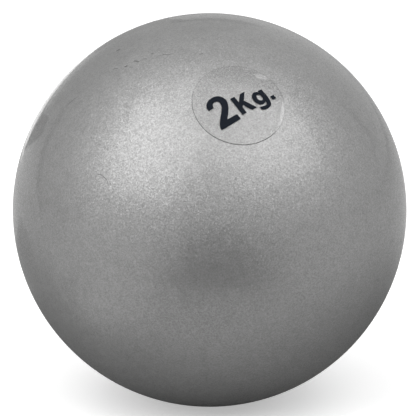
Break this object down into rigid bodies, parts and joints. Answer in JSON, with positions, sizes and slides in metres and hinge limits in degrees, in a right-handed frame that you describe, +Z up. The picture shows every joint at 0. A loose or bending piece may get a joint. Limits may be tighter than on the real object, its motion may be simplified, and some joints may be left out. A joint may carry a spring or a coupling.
{
  "type": "shot put ball",
  "caption": "Smooth round throwing weight: a silver painted iron ball, trimmed with lead through a plugged and filled bore, with a round clear label.",
  "frame": {"origin": "centre of the ball", "axes": "+Z up along the trim bore, whose plug closes the bottom pole; -Y is the front, where the label lies high and a little to the right; +X is to the right"},
  "size_m": [0.081, 0.081, 0.081],
  "materials": {
    "silver_paint": "turned grey cast iron under fine aluminium flake paint with a satin clear coat",
    "cast_lead": "dull cast lead",
    "grey_felt": "pressed grey wool felt",
    "blackened_steel": "blackened steel",
    "painted_putty": "polyester body filler sanded flush, under the ball's own silver paint",
    "clear_film": "clear self-adhesive film with dark printed figures"
  },
  "bodies": {
    "root": {"iron_ball": "silver_paint", "lead_trim_charge": "cast_lead", "felt_wad": "grey_felt", "closing_plug": "blackened_steel", "plug_filler": "painted_putty", "weight_label": "clear_film"}
  },
  "joints": []
}
